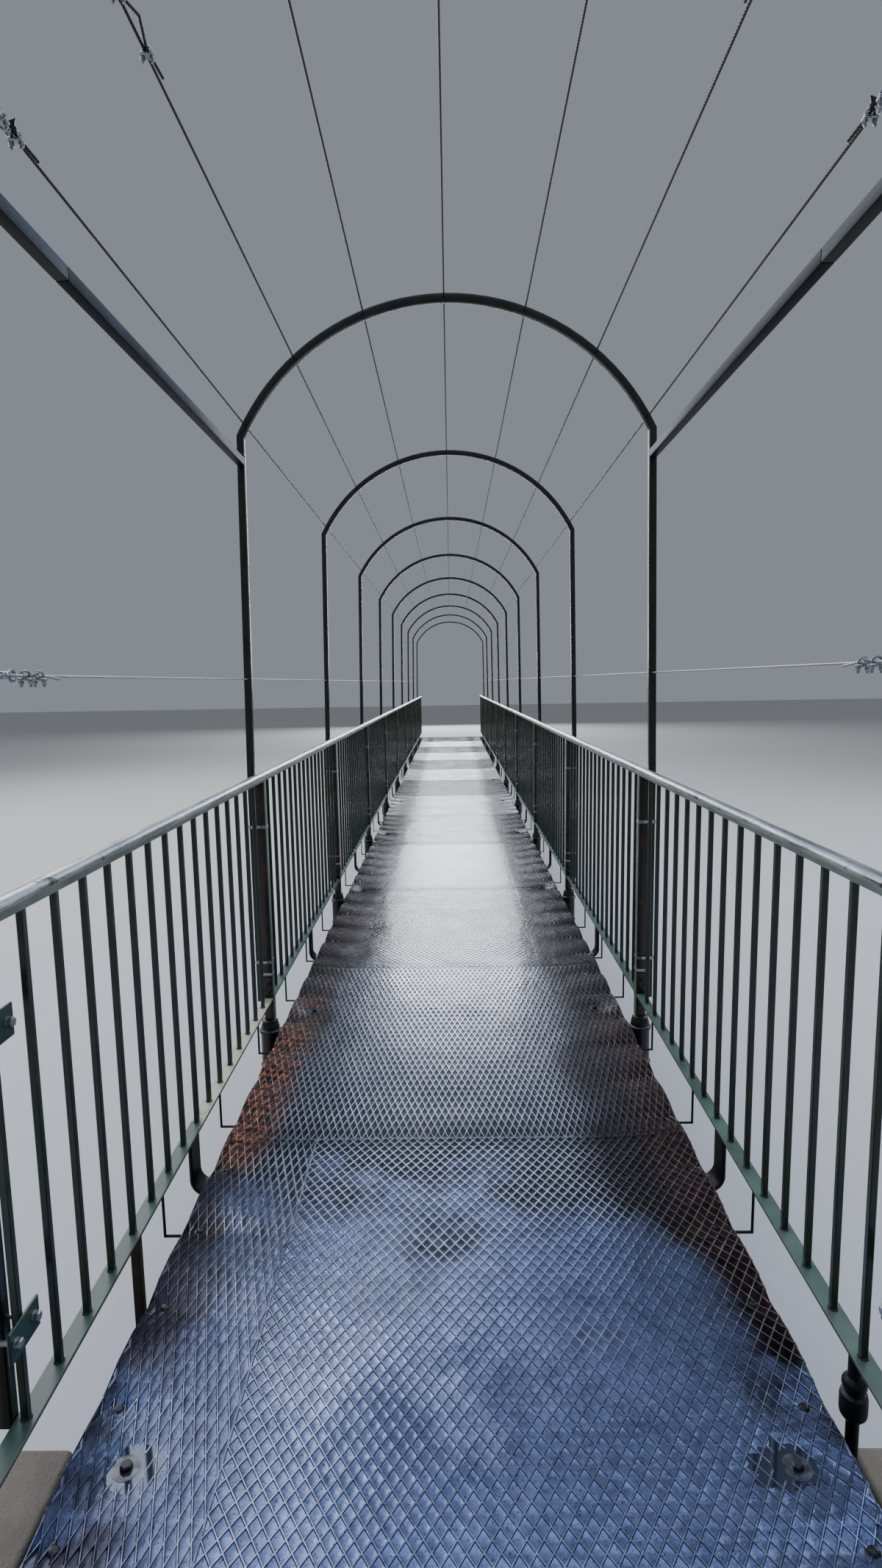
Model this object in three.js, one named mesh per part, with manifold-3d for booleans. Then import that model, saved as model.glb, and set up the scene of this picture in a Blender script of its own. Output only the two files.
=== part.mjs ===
// Hooped steel footbridge: plate girders on two concrete abutments, tread plates, railings
// clamped to a row of arched hoops, and taut wires threaded through the hoops.
// Millimetres. X across the bridge, Y along it from the near end, Z up, floor at Z = 0.
import * as THREE from 'three';
import Module from 'manifold-3d';

const wasm = await Module();
wasm.setup();

// Overall layout
const FIT = 0.3;
const DECK_TOP = 1200;
const FIRST_BAY = 1930;
const BAY = 2025;
const HOOP_COUNT = 10;

// Deck plates
const DECK_HALF = 733;
const PLATE_T = 8;
const PLATE_LEN = 1560;
const PLATE_COUNT = 13;
const DECK_START = -430;
const PLATE_GAP = 1;
const SIDE_STRIPS = { 1: -449, 3: 440, 4: 440 };

// Deck frame
const GIRDER_X = 640;
const GIRDER_DEPTH = 400;
const FLANGE_W = 180;
const FLANGE_T = 14;
const WEB_T = 10;
const GIRDER_INSET = 75;
const CROSS_DEPTH = 200;
const CROSS_W = 75;
const STUB_TOP = -170;
const STUB_DEPTH = 80;
const STUB_W = 70;

// Railings
const RAIL_X = 776;
const BAR = 14;
const BAR_PITCH = 120;
const BOTTOM_RAIL_TOP = 158;
const BOTTOM_RAIL_W = 40;
const FLAT_T = 8;
const TOP_FLAT_TOP = 1084;
const TOP_FLAT_W = 40;
const TOP_FLAT_T = 15;
const POST_W = 40;
const NEAR_END_BARS = 2;
const FAR_END_BARS = 12;
const HANDRAIL_W = 40;
const HANDRAIL_H = 16;
const SECTION_JOINT = 32;

// Sleeves that carry the railing posts
const SLEEVE_X = 779;
const SLEEVE_R = 40;
const RING_R = 44;
const SHAFT_R = 28;
const SLEEVE_BOTTOM = -147;
const CAP_R = 34;
const CAP_TOP = 54;
const SLEEVE_SIDES = 8;

// Hoops
const TUBE = 28;
const HOOP_X = RAIL_X + POST_W / 2 + FIT + TUBE / 2;
const SPRING_X = 790;
const SPRING_Z = 2402;
const CROWN_Z = 2886;
const LEG_BOTTOM = 140;
const FIRST_LEG_BOTTOM = 150;
const ARC_STEPS = 12;
const FIRST_HOOP_LEAN = THREE.MathUtils.degToRad(4);

// Wires
const WIRE_R = 3;
const WIRE_HOLE = 9;
const WIRE_STEP = THREE.MathUtils.degToRad(20);
const LOW_WIRE_Z = 1480;

// Abutments
const SEAT_Z = DECK_TOP - PLATE_T - GIRDER_DEPTH - FIT;
const ABUTMENT_HALF = 1090;
const ABUTMENT_BACK = 300;
const ABUTMENT_FRONT = 660;
const CHEEK_X = 822;
const CHEEK_TOP = DECK_TOP - 150;

const DECK_END = DECK_START + PLATE_LEN * PLATE_COUNT;
const hoopY = Array.from({ length: HOOP_COUNT }, (_, i) => (i === 0 ? 0 : FIRST_BAY + BAY * (i - 1)));
const RAIL_START = -NEAR_END_BARS * BAR_PITCH;
const RAIL_END = hoopY[HOOP_COUNT - 1] + FAR_END_BARS * BAR_PITCH;

const paint = (color, roughness = 0.45, metalness = 0.3) =>
  new THREE.MeshStandardMaterial({ color, roughness, metalness });
const MATERIALS = {
  hoop: paint('#23291f'),
  railing: paint('#28362b'),
  frame: paint('#2b2c26', 0.7),
  tread: paint('#5b5461', 0.35, 0.8),
  handrail: paint('#b9bfc2', 0.25, 0.9),
  wire: paint('#a9abaa', 0.4, 0.8),
  concrete: paint('#a39c90', 0.95, 0),
};

const bridge = new THREE.Group();

function toManifold(geometry) {
  const flat = geometry.index ? geometry.toNonIndexed() : geometry;
  const position = flat.attributes.position;
  const vertices = [];
  const triangles = [];
  const seen = new Map();
  for (let i = 0; i < position.count; i += 1) {
    const point = [position.getX(i), position.getY(i), position.getZ(i)];
    const key = point.map((value) => Math.round(value * 1000)).join(',');
    if (!seen.has(key)) {
      seen.set(key, vertices.length / 3);
      vertices.push(...point);
    }
    triangles.push(seen.get(key));
  }
  const kept = [];
  for (let i = 0; i < triangles.length; i += 3) {
    const [a, b, c] = triangles.slice(i, i + 3);
    if (a !== b && b !== c && c !== a) kept.push(a, b, c);
  }
  return new wasm.Manifold(new wasm.Mesh({
    numProp: 3,
    vertProperties: new Float32Array(vertices),
    triVerts: new Uint32Array(kept),
  }));
}

function fromManifold(solid) {
  const mesh = solid.getMesh();
  const geometry = new THREE.BufferGeometry();
  geometry.setAttribute('position', new THREE.BufferAttribute(new Float32Array(mesh.vertProperties), 3));
  geometry.setIndex(Array.from(mesh.triVerts));
  geometry.computeVertexNormals();
  return geometry;
}

function join(...geometries) {
  return fromManifold(geometries.map(toManifold).reduce((sum, next) => sum.add(next)));
}

function cut(geometry, tools) {
  return fromManifold(tools.map(toManifold).reduce((rest, tool) => rest.subtract(tool), toManifold(geometry)));
}

// A box given by its low and high corners
function block(low, high) {
  const size = high.map((value, i) => value - low[i]);
  const geometry = new THREE.BoxGeometry(...size);
  return geometry.translate(...low.map((value, i) => value + size[i] / 2));
}

// The same box on the left (-1) or right (1) side, with x measured outward from the centreline
function sideBlock(side, x0, x1, y0, y1, z0, z1) {
  const xs = [side * x0, side * x1].sort((a, b) => a - b);
  return block([xs[0], y0, z0], [xs[1], y1, z1]);
}

// A flat outline in x and z, pushed along y
function alongY(shape, y0, y1) {
  const geometry = new THREE.ExtrudeGeometry(shape, { depth: y1 - y0, bevelEnabled: false });
  return geometry.rotateX(Math.PI / 2).translate(0, y1, 0);
}

// A turned piece about a vertical axis, from [radius, height] pairs that run upward
function turned(x, y, profile, sides) {
  const points = profile.map(([radius, height]) => new THREE.Vector2(radius, height));
  const geometry = new THREE.LatheGeometry(points, sides, Math.PI / sides);
  return geometry.rotateX(Math.PI / 2).translate(x, y, 0);
}

function add(name, geometry, material) {
  const mesh = new THREE.Mesh(geometry, MATERIALS[material]);
  mesh.name = name;
  bridge.add(mesh);
  return mesh;
}

const pad = (n) => String(n).padStart(2, '0');

// Abutment: a seat for the girders with a back wall and two cheeks beside the deck
function abutment(name, back, front, inward) {
  const y = (distance) => back + inward * distance;
  const span = (a, b) => [y(a), y(b)].sort((p, q) => p - q);
  const [y0, y1] = span(0, Math.abs(front - back));
  const [w0, w1] = span(0, ABUTMENT_BACK - GIRDER_INSET);
  const wallTop = DECK_TOP - PLATE_T - FIT;
  add(name, join(
    block([-ABUTMENT_HALF, y0, 0], [ABUTMENT_HALF, y1, SEAT_Z]),
    block([-ABUTMENT_HALF, w0, SEAT_Z - 10], [ABUTMENT_HALF, w1, wallTop]),
    sideBlock(-1, CHEEK_X, ABUTMENT_HALF, y0, y1, SEAT_Z - 10, CHEEK_TOP),
    sideBlock(1, CHEEK_X, ABUTMENT_HALF, y0, y1, SEAT_Z - 10, CHEEK_TOP),
  ), 'concrete');
}

// Deck frame: two I girders, cross beams at the hoops and stubs that carry the sleeves
function girder(side) {
  const top = DECK_TOP - PLATE_T - FIT;
  const half = FLANGE_W / 2;
  const web = WEB_T / 2;
  const bottom = SEAT_Z + FIT;
  const outline = [
    [-half, bottom], [half, bottom], [half, bottom + FLANGE_T], [web, bottom + FLANGE_T],
    [web, top - FLANGE_T], [half, top - FLANGE_T], [half, top], [-half, top],
    [-half, top - FLANGE_T], [-web, top - FLANGE_T], [-web, bottom + FLANGE_T], [-half, bottom + FLANGE_T],
  ].map(([x, z]) => new THREE.Vector2(x + side * GIRDER_X, z));
  return alongY(new THREE.Shape(outline), DECK_START + GIRDER_INSET, DECK_END - GIRDER_INSET);
}

function deckFrame() {
  const pieces = [girder(-1), girder(1)];
  const crossTop = DECK_TOP - PLATE_T - FLANGE_T - 40;
  for (const y of [...hoopY, DECK_END - GIRDER_INSET - CROSS_W]) {
    pieces.push(block([-GIRDER_X, y - CROSS_W / 2, crossTop - CROSS_DEPTH], [GIRDER_X, y + CROSS_W / 2, crossTop]));
  }
  for (const y of hoopY.slice(1)) {
    for (const side of [-1, 1]) pieces.push(stub(side, y));
  }
  pieces.push(stub(-1, LEFT_PROP_Y));
  add('deck_frame', join(...pieces), 'frame');
}

function stub(side, y) {
  const top = DECK_TOP + STUB_TOP;
  return sideBlock(side, GIRDER_X, SLEEVE_X + SLEEVE_R, y - STUB_W / 2, y + STUB_W / 2, top - STUB_DEPTH, top);
}

// Deck plates, with a narrow side strip on the rows laid in two widths. A seam left of the
// centreline has the strip on the left, one right of it has the strip on the right.
function deckPlates() {
  const z0 = DECK_TOP - PLATE_T;
  for (let row = 1; row <= PLATE_COUNT; row += 1) {
    const y0 = DECK_START + (row - 1) * PLATE_LEN;
    const y1 = y0 + PLATE_LEN - PLATE_GAP;
    const seam = SIDE_STRIPS[row];
    const left = seam < 0 ? seam + PLATE_GAP : -DECK_HALF;
    const right = seam > 0 ? seam : DECK_HALF;
    add(`deck_plate_${pad(row)}`, block([left, y0, z0], [right, y1, DECK_TOP]), 'tread');
    if (seam) {
      const x0 = seam < 0 ? -DECK_HALF : seam + PLATE_GAP;
      const x1 = seam < 0 ? seam : DECK_HALF;
      add(`deck_strip_${pad(row)}`, block([x0, y0, z0], [x1, y1, DECK_TOP]), 'tread');
    }
  }
}

// Railings
const LEFT_PROP_Y = 500;
const RIGHT_PROP_Y = 150;
const BRACKET_BACK = 0.48;

// Bars of one section: pickets near the pitch, with a wide post at each hoop after the first
function sectionBars(start, end) {
  const bars = [];
  const place = (y, half) => {
    if (y > start + half && y < end - half) bars.push([y, half]);
  };
  for (let i = 1; i <= NEAR_END_BARS; i += 1) place(-i * BAR_PITCH, BAR / 2);
  hoopY.forEach((y, i) => {
    place(y, i === 0 ? BAR / 2 : POST_W / 2);
    const bay = (i + 1 < HOOP_COUNT ? hoopY[i + 1] : RAIL_END) - y;
    const gaps = Math.round(bay / BAR_PITCH);
    for (let bar = 1; bar < gaps; bar += 1) place(y + (bay * bar) / gaps, BAR / 2);
  });
  return bars.sort((a, b) => a[0] - b[0]);
}

// Flat lattice of pickets: a thin panel with an opening between each pair of bars
function lattice(side, start, end) {
  const low = DECK_TOP + BOTTOM_RAIL_TOP - 2;
  const high = DECK_TOP + TOP_FLAT_TOP - TOP_FLAT_T + 2;
  const x0 = RAIL_X - BAR / 2;
  const x1 = RAIL_X + BAR / 2;
  const bars = [[start + BAR / 2, BAR / 2], ...sectionBars(start + BAR, end - BAR), [end - BAR / 2, BAR / 2]];
  const openings = [];
  for (let i = 0; i + 1 < bars.length; i += 1) {
    const y0 = bars[i][0] + bars[i][1];
    const y1 = bars[i + 1][0] - bars[i + 1][1];
    if (y1 - y0 > 4) openings.push(sideBlock(side, x0 - 1, x1 + 1, y0, y1, low + 5, high - 5));
  }
  return cut(sideBlock(side, x0, x1, start, end, low, high), openings);
}

// Railing post standing in its sleeve: domed cap, ring, sleeve, lower ring and shaft
function postInSleeve(side, y) {
  const z = (value) => DECK_TOP + value;
  const sleeve = turned(side * SLEEVE_X, y, [
    [0, z(STUB_TOP + FIT)], [SHAFT_R, z(STUB_TOP + FIT)], [SHAFT_R, z(SLEEVE_BOTTOM)], [RING_R, z(SLEEVE_BOTTOM)],
    [RING_R, z(SLEEVE_BOTTOM + 12)], [SLEEVE_R, z(SLEEVE_BOTTOM + 12)], [SLEEVE_R, z(2)], [RING_R, z(2)],
    [RING_R, z(16)], [40, z(30)], [CAP_R, z(CAP_TOP)], [0, z(CAP_TOP)],
  ], SLEEVE_SIDES);
  const half = POST_W / 2;
  const post = sideBlock(side, RAIL_X - half, RAIL_X + half, y - half, y + half, z(10), z(TOP_FLAT_TOP - 2));
  return [sleeve, post];
}

// Bent flat bracket from under the bottom rail, curving in to the underside of the girder flange
function gooseneck(side, y) {
  const outer = 49;
  const inner = 41;
  const width = 56;
  const top = DECK_TOP + BOTTOM_RAIL_TOP - FLAT_T + 1;
  const centreX = RAIL_X + 4 - outer;
  const centreZ = DECK_TOP - PLATE_T - FLANGE_T - 2 * FIT + inner;
  const tail = centreX - 40;
  const arc = (radius) => Array.from({ length: 6 }, (_, i) => {
    const a = (-Math.PI / 2) * (i / 5);
    return [centreX + radius * Math.cos(a), centreZ + radius * Math.sin(a)];
  });
  const outline = [
    [centreX + outer, top], ...arc(outer), [tail, centreZ - outer],
    [tail, centreZ - inner], ...arc(inner).reverse(), [centreX + inner, top],
  ].map(([x, z]) => new THREE.Vector2(side * x, z));
  return alongY(new THREE.Shape(outline), y - width / 2, y + width / 2);
}

// Plain square prop under the near end of the left railing
function leftProp() {
  const half = 11;
  return sideBlock(-1, SLEEVE_X - half, SLEEVE_X + half, LEFT_PROP_Y - half, LEFT_PROP_Y + half,
    DECK_TOP + STUB_TOP + FIT, DECK_TOP + BOTTOM_RAIL_TOP - FLAT_T + 1);
}

// Prop with a barrel and a ring under the near end of the right railing, standing on the abutment
function rightProp() {
  const z = (value) => DECK_TOP + value;
  return turned(SLEEVE_X, RIGHT_PROP_Y, [
    [0, SEAT_Z + FIT], [13, SEAT_Z + FIT], [13, z(-2)], [26, z(10)], [26, z(52)], [19, z(60)], [23, z(70)],
    [23, z(82)], [14, z(90)], [14, z(BOTTOM_RAIL_TOP - FLAT_T + 1)], [0, z(BOTTOM_RAIL_TOP - FLAT_T + 1)],
  ], 8);
}

function railingSection(side, index, start, end, posts) {
  const label = side < 0 ? 'left' : 'right';
  const bottomHalf = BOTTOM_RAIL_W / 2;
  const topHalf = TOP_FLAT_W / 2;
  const pieces = [
    lattice(side, start, end),
    sideBlock(side, RAIL_X - bottomHalf, RAIL_X + bottomHalf, start, end,
      DECK_TOP + BOTTOM_RAIL_TOP - FLAT_T, DECK_TOP + BOTTOM_RAIL_TOP),
    sideBlock(side, RAIL_X - topHalf, RAIL_X + topHalf, start, end,
      DECK_TOP + TOP_FLAT_TOP - TOP_FLAT_T, DECK_TOP + TOP_FLAT_TOP),
  ];
  for (const post of posts) {
    pieces.push(...postInSleeve(side, hoopY[post]));
    pieces.push(gooseneck(side, hoopY[post - 1] + BRACKET_BACK * (hoopY[post] - hoopY[post - 1])));
  }
  if (index === 1) pieces.push(side < 0 ? leftProp() : rightProp());
  add(`railing_${label}_${index}`, join(...pieces), 'railing');
}

function railings(side) {
  let start = RAIL_START;
  for (let index = 1; index <= 5; index += 1) {
    const posts = [2 * index - 1, 2 * index].filter((i) => i < HOOP_COUNT);
    const last = index === 5;
    const end = last ? RAIL_END : hoopY[2 * index] + SECTION_JOINT;
    railingSection(side, index, start, end, posts);
    start = end + PLATE_GAP;
  }
}

// Handrail: a half-round bar on the top flat
function handrail(side) {
  const half = HANDRAIL_W / 2;
  const base = DECK_TOP + TOP_FLAT_TOP + FIT;
  const shape = new THREE.Shape();
  shape.moveTo(side * RAIL_X - half, base);
  shape.lineTo(side * RAIL_X + half, base);
  shape.lineTo(side * RAIL_X + half, base + 3);
  const steps = 8;
  for (let i = 1; i < steps; i += 1) {
    const a = (Math.PI * i) / steps;
    shape.lineTo(side * RAIL_X + half * Math.cos(a), base + 3 + (HANDRAIL_H - 3) * Math.sin(a));
  }
  shape.lineTo(side * RAIL_X - half, base + 3);
  add(`handrail_${side < 0 ? 'left' : 'right'}`, alongY(shape, RAIL_START - 10, RAIL_END + 10), 'handrail');
}

// Hoops: the arc is part of a circle that meets each leg at a slight angle
const RISE = CROWN_Z - SPRING_Z;
const ARC_R = (SPRING_X ** 2 + RISE ** 2) / (2 * RISE);
const ARC_CENTRE_Z = CROWN_Z - ARC_R;
const ARC_HALF = Math.asin(SPRING_X / ARC_R);

function hoopOutline(offset, legBottom) {
  const points = [[HOOP_X + offset, TOP_FLAT_TOP]];
  if (legBottom < TOP_FLAT_TOP) points.unshift([HOOP_X + offset, legBottom]);
  const kinkLift = offset * Math.tan((Math.PI / 2 - ARC_HALF) / 2);
  const radius = ARC_R + offset;
  points.push([SPRING_X + offset, SPRING_Z + kinkLift]);
  for (let i = 1; i < ARC_STEPS; i += 1) {
    const a = ARC_HALF * (1 - (2 * i) / ARC_STEPS);
    points.push([radius * Math.sin(a), ARC_CENTRE_Z + radius * Math.cos(a)]);
  }
  points.push([-SPRING_X - offset, SPRING_Z + kinkLift]);
  points.push([-HOOP_X - offset, TOP_FLAT_TOP]);
  if (legBottom < TOP_FLAT_TOP) points.push([-HOOP_X - offset, legBottom]);
  return points.map(([x, z]) => new THREE.Vector2(x, z + DECK_TOP));
}

// Where each wire crosses the plane of a hoop
const WIRES = [
  ...[-3, -2, -1, 0, 1, 2, 3].map((i) => {
    const name = i === 0 ? 'wire_crown' : `wire_${i < 0 ? 'left' : 'right'}_${Math.abs(i)}`;
    const a = i * WIRE_STEP;
    return { name, x: ARC_R * Math.sin(a), z: DECK_TOP + ARC_CENTRE_Z + ARC_R * Math.cos(a), turn: -a };
  }),
  ...[-1, 1].map((side) => ({
    name: `wire_${side < 0 ? 'left' : 'right'}_low`,
    x: side * (HOOP_X + (SPRING_X - HOOP_X) * (LOW_WIRE_Z - TOP_FLAT_TOP) / (SPRING_Z - TOP_FLAT_TOP)),
    z: DECK_TOP + LOW_WIRE_Z,
    turn: 0,
  })),
];

function wireHole({ x, z, turn }) {
  const half = WIRE_HOLE / 2;
  const hole = new THREE.Path();
  const corners = [[-half, -half], [-half, half], [half, half], [half, -half]];
  corners.forEach(([u, v], i) => {
    const px = x + u * Math.cos(turn) - v * Math.sin(turn);
    const pz = z + u * Math.sin(turn) + v * Math.cos(turn);
    if (i === 0) hole.moveTo(px, pz);
    else hole.lineTo(px, pz);
  });
  return hole;
}

function hoopSolid(legBottom) {
  const outer = hoopOutline(TUBE / 2, legBottom);
  const inner = hoopOutline(-TUBE / 2, legBottom).reverse();
  const shape = new THREE.Shape([...outer, ...inner]);
  shape.holes = WIRES.map(wireHole);
  return alongY(shape, -TUBE / 2, TUBE / 2);
}

// Pair of bolted plates that grip a picket and the leg of the first hoop
const CLAMP_HEIGHTS = [334, 890];
const CLAMP_LEN = 96;
const CLAMP_H = 60;
const CLAMP_T = 6;
const CLAMP_BOLT_R = 5;

function clamp(side, z) {
  const inner = RAIL_X - BAR / 2 - FIT;
  const outer = HOOP_X + TUBE / 2;
  const z0 = DECK_TOP + z - CLAMP_H / 2;
  const z1 = z0 + CLAMP_H;
  const half = CLAMP_LEN / 2;
  const pieces = [
    sideBlock(side, inner - CLAMP_T, inner, -half, half, z0, z1),
    sideBlock(side, outer - 0.5, outer + CLAMP_T, -half, half, z0, z1),
  ];
  for (const y of [-1, 1]) {
    const bolt = new THREE.CylinderGeometry(CLAMP_BOLT_R, CLAMP_BOLT_R, outer - inner + 2 * CLAMP_T + 16, 6);
    bolt.rotateZ(Math.PI / 2).translate(side * (inner + outer) / 2, y * (half - 18), DECK_TOP + z);
    pieces.push(bolt);
  }
  return pieces;
}

// The first hoop leans toward the span above the handrail
function leanAt(z) {
  return Math.tan(FIRST_HOOP_LEAN) * (z - DECK_TOP - TOP_FLAT_TOP);
}

function firstHoop() {
  const arch = hoopSolid(TOP_FLAT_TOP);
  const position = arch.attributes.position;
  for (let i = 0; i < position.count; i += 1) {
    position.setY(i, position.getY(i) + leanAt(position.getZ(i)));
  }
  const half = TUBE / 2;
  const legs = [-1, 1].map((side) => sideBlock(side, HOOP_X - half, HOOP_X + half, -half, half,
    DECK_TOP + FIRST_LEG_BOTTOM, DECK_TOP + TOP_FLAT_TOP));
  const clamps = [-1, 1].flatMap((side) => CLAMP_HEIGHTS.flatMap((z) => clamp(side, z)));
  return join(arch, ...legs, ...clamps);
}

function hoops() {
  hoopY.forEach((y, i) => {
    add(`hoop_${pad(i + 1)}`, i === 0 ? firstHoop() : hoopSolid(LEG_BOTTOM), 'hoop').position.set(0, y, 0);
  });
}

// Beams just under the spring of the first bay, between the legs of the first two hoops
const BEAM = 30;
const BEAM_DROP = 78;
function springBeam(side) {
  const z = DECK_TOP + SPRING_Z - BEAM_DROP;
  const y0 = TUBE / 2 + leanAt(z) + FIT;
  const y1 = FIRST_BAY - TUBE / 2 - FIT;
  add(`spring_beam_${side < 0 ? 'left' : 'right'}`,
    sideBlock(side, SPRING_X - BEAM / 2, SPRING_X + BEAM / 2, y0, y1, z - BEAM, z), 'hoop');
}

// Wire with its eye bolt and turnbuckle at the first hoop and a stop at the last hoop
function wire({ name, x, z }) {
  const near = TUBE / 2 + FIT + 9 * Math.tan(FIRST_HOOP_LEAN);
  const start = leanAt(z);
  const far = hoopY[HOOP_COUNT - 1] + TUBE / 2 + FIT - start;
  const profile = [
    [0, -near - 10], [9, -near - 10], [9, -near], [WIRE_R, -near], [WIRE_R, near], [7, near], [7, 60],
    [12, 70], [12, 230], [5, 250], [WIRE_R, 330], [WIRE_R, far], [8, far], [8, far + 12], [0, far + 12],
  ];
  const points = profile.map(([radius, along]) => new THREE.Vector2(radius, along));
  const mesh = add(name, new THREE.LatheGeometry(points, 6, Math.PI / 6), 'wire');
  mesh.position.set(x, start, z);
}

abutment('abutment_near', DECK_START - ABUTMENT_BACK + GIRDER_INSET, DECK_START + ABUTMENT_FRONT, 1);
abutment('abutment_far', DECK_END + ABUTMENT_BACK - GIRDER_INSET, DECK_END - ABUTMENT_FRONT, -1);
deckFrame();
deckPlates();
for (const side of [-1, 1]) {
  railings(side);
  handrail(side);
  springBeam(side);
}
hoops();
WIRES.forEach(wire);

export default bridge;
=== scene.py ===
import functools
import math

import bmesh
import bpy
from mathutils import Matrix, Vector, noise


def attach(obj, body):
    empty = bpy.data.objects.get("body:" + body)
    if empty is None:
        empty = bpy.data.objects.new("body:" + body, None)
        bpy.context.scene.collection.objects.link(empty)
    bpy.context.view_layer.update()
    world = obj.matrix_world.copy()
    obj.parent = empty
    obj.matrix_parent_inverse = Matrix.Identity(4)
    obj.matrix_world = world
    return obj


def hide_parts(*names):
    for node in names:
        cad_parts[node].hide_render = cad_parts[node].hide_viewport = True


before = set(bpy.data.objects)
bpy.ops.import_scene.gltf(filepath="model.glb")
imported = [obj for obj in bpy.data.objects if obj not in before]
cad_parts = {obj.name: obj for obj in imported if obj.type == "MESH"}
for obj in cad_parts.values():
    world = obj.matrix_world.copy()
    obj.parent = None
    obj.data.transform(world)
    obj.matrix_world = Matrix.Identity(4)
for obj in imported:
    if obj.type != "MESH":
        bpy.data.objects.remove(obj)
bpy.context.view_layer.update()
scene = bpy.context.scene

# Overall layout, as in the part's source
DECK_TOP = 1.2
FIRST_BAY = 1.93
BAY = 2.025
HOOP_COUNT = 10
HOOP_Y = [0.0] + [FIRST_BAY + BAY * i for i in range(HOOP_COUNT - 1)]

# Deck plates
DECK_HALF = 0.733
PLATE_T = 0.008
PLATE_LEN = 1.56
PLATE_COUNT = 13
DECK_START = -0.43
DECK_END = DECK_START + PLATE_COUNT * PLATE_LEN
PLATE_GAP = 0.001
SIDE_STRIPS = {1: -0.449, 3: 0.44, 4: 0.44}
COARSE_RIBS = (0.0295, 0.0425)
FINE_RIBS = (0.0235, 0.078)
LAST_SHARP_ROW = 5
LAST_FILLET_ROW = 2
RIB_HEIGHT = 0.0017
RIB_HALF = 0.0027
FILLET = 0.0009
PAN_CROWN = 0.00015
SHEET_T = 0.0055
CURL_FROM = 0.48
CURL = 0.019
ANCHOR_HOLD = 0.075
DIP = 0.0038
DIP_REACH = 0.062
# Ripples of the sheet: how many in a metre, height, seed, and growth toward the edges
RIPPLES = ((2.3, 0.0014, 0.4, 0), (7, 0.0007, 5.1, 0), (26, 0.0003, 2.7, 2))
EDGE_BOLT_X = 0.692
EDGE_BOLT_Y = 0.17
EDGE_BOLT_PITCH = 0.2655
ANCHOR_X = 0.627
ANCHOR_Y = 0.05
ANCHOR_PITCH = 2.09
WASHER_T = 0.003

# Railings
RAIL_X = 0.776
BAR = 0.014
BAR_PITCH = 0.12
BOTTOM_RAIL_TOP = 0.158
BOTTOM_RAIL_W = 0.04
FLAT_T = 0.008
TOP_FLAT_TOP = 1.084
TOP_FLAT_T = 0.015
POST_W = 0.04
HANDRAIL_W = 0.04
HANDRAIL_H = 0.016
HANDRAIL_EDGE = 0.003
RAIL_START = -2 * BAR_PITCH
RAIL_END = HOOP_Y[-1] + 12 * BAR_PITCH
SECTION_JOINT = 0.032
BRACKET_BACK = 0.48
BRACKET_BEND = 0.045
BRACKET_X = 0.731
BRACKET_Z = 0.0184
LEFT_PROP_Y = 0.5
RIGHT_PROP_Y = 0.15
SLEEVE_X = 0.779
PICKET_FOOT = (0.0125, 0.0075, 0.006)
STAY_PITCH = 2 * EDGE_BOLT_PITCH
STAY_COUNT = 36
STUB_TOP = -0.17
SEAT_Z = 0.7917
RAIL_UNDERSIDE = BOTTOM_RAIL_TOP - FLAT_T + 0.001
SIDE_NAME = {-1: "left", 1: "right"}

# Turned profiles, as radius and height above their place
BOLT_PROFILE = [
    (0, 0), (0.015, 0), (0.0148, 0.0022), (0.0112, 0.003), (0.0104, 0.0052), (0.0075, 0.0078), (0, 0.0088),
]
SLEEVE_PROFILE = [
    (0, STUB_TOP), (0.028, STUB_TOP), (0.028, -0.147), (0.043, -0.147), (0.0445, -0.145), (0.0445, -0.138),
    (0.043, -0.136), (0.0395, -0.134), (0.0395, 0.0), (0.043, 0.002), (0.0455, 0.005), (0.0455, 0.013),
    (0.043, 0.016), (0.0385, 0.018), (0.0375, 0.028), (0.035, 0.04), (0.031, 0.048), (0.0325, 0.05),
    (0.0335, 0.053), (0.0325, 0.056), (0.027, 0.06), (0, 0.062),
]
PROP_PROFILE = [
    (0, SEAT_Z - DECK_TOP), (0.0125, SEAT_Z - DECK_TOP), (0.0125, -0.004), (0.02, 0.002), (0.025, 0.009),
    (0.0265, 0.016), (0.0265, 0.047), (0.025, 0.053), (0.018, 0.057), (0.0175, 0.062), (0.0215, 0.066),
    (0.0235, 0.071), (0.0235, 0.078), (0.0215, 0.083), (0.016, 0.087), (0.0135, 0.09), (0.0135, RAIL_UNDERSIDE),
    (0, RAIL_UNDERSIDE),
]

# Hoops
TUBE = 0.028
HOOP_X = 0.8103
SPRING_X = 0.79
SPRING_Z = 2.402
ARC_STEPS = 36
CROWN_Z = 2.886
LEG_BOTTOM = 0.14
FIRST_LEG_BOTTOM = 0.15
FIRST_HOOP_LEAN = math.radians(4)
RISE = CROWN_Z - SPRING_Z
ARC_R = (SPRING_X ** 2 + RISE ** 2) / (2 * RISE)
ARC_CENTRE_Z = CROWN_Z - ARC_R
ARC_HALF = math.asin(SPRING_X / ARC_R)
BEAM = 0.03
BEAM_DROP = 0.078
BEAM_JOINT_Y = 0.5
CLAMP_HEIGHTS = (0.334, 0.89)
BAND_HEIGHTS = (0.312, 0.882)
BAND_T = 0.0014

# Wires
WIRE_R = 0.003
SCREW_R = 0.004
EYE_R = 0.011
CLIP_HALF = 0.009
WIRE_STEP = math.radians(20)
LOW_WIRE_Z = 1.48
CLIP_PLACES = {"wire_left_2": (0.306, 0.444), "wire_left_1": (0.3, 0.46), "wire_crown": (0.24, 0.33)}
USUAL_CLIPS = (0.25, 0.3)

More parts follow.
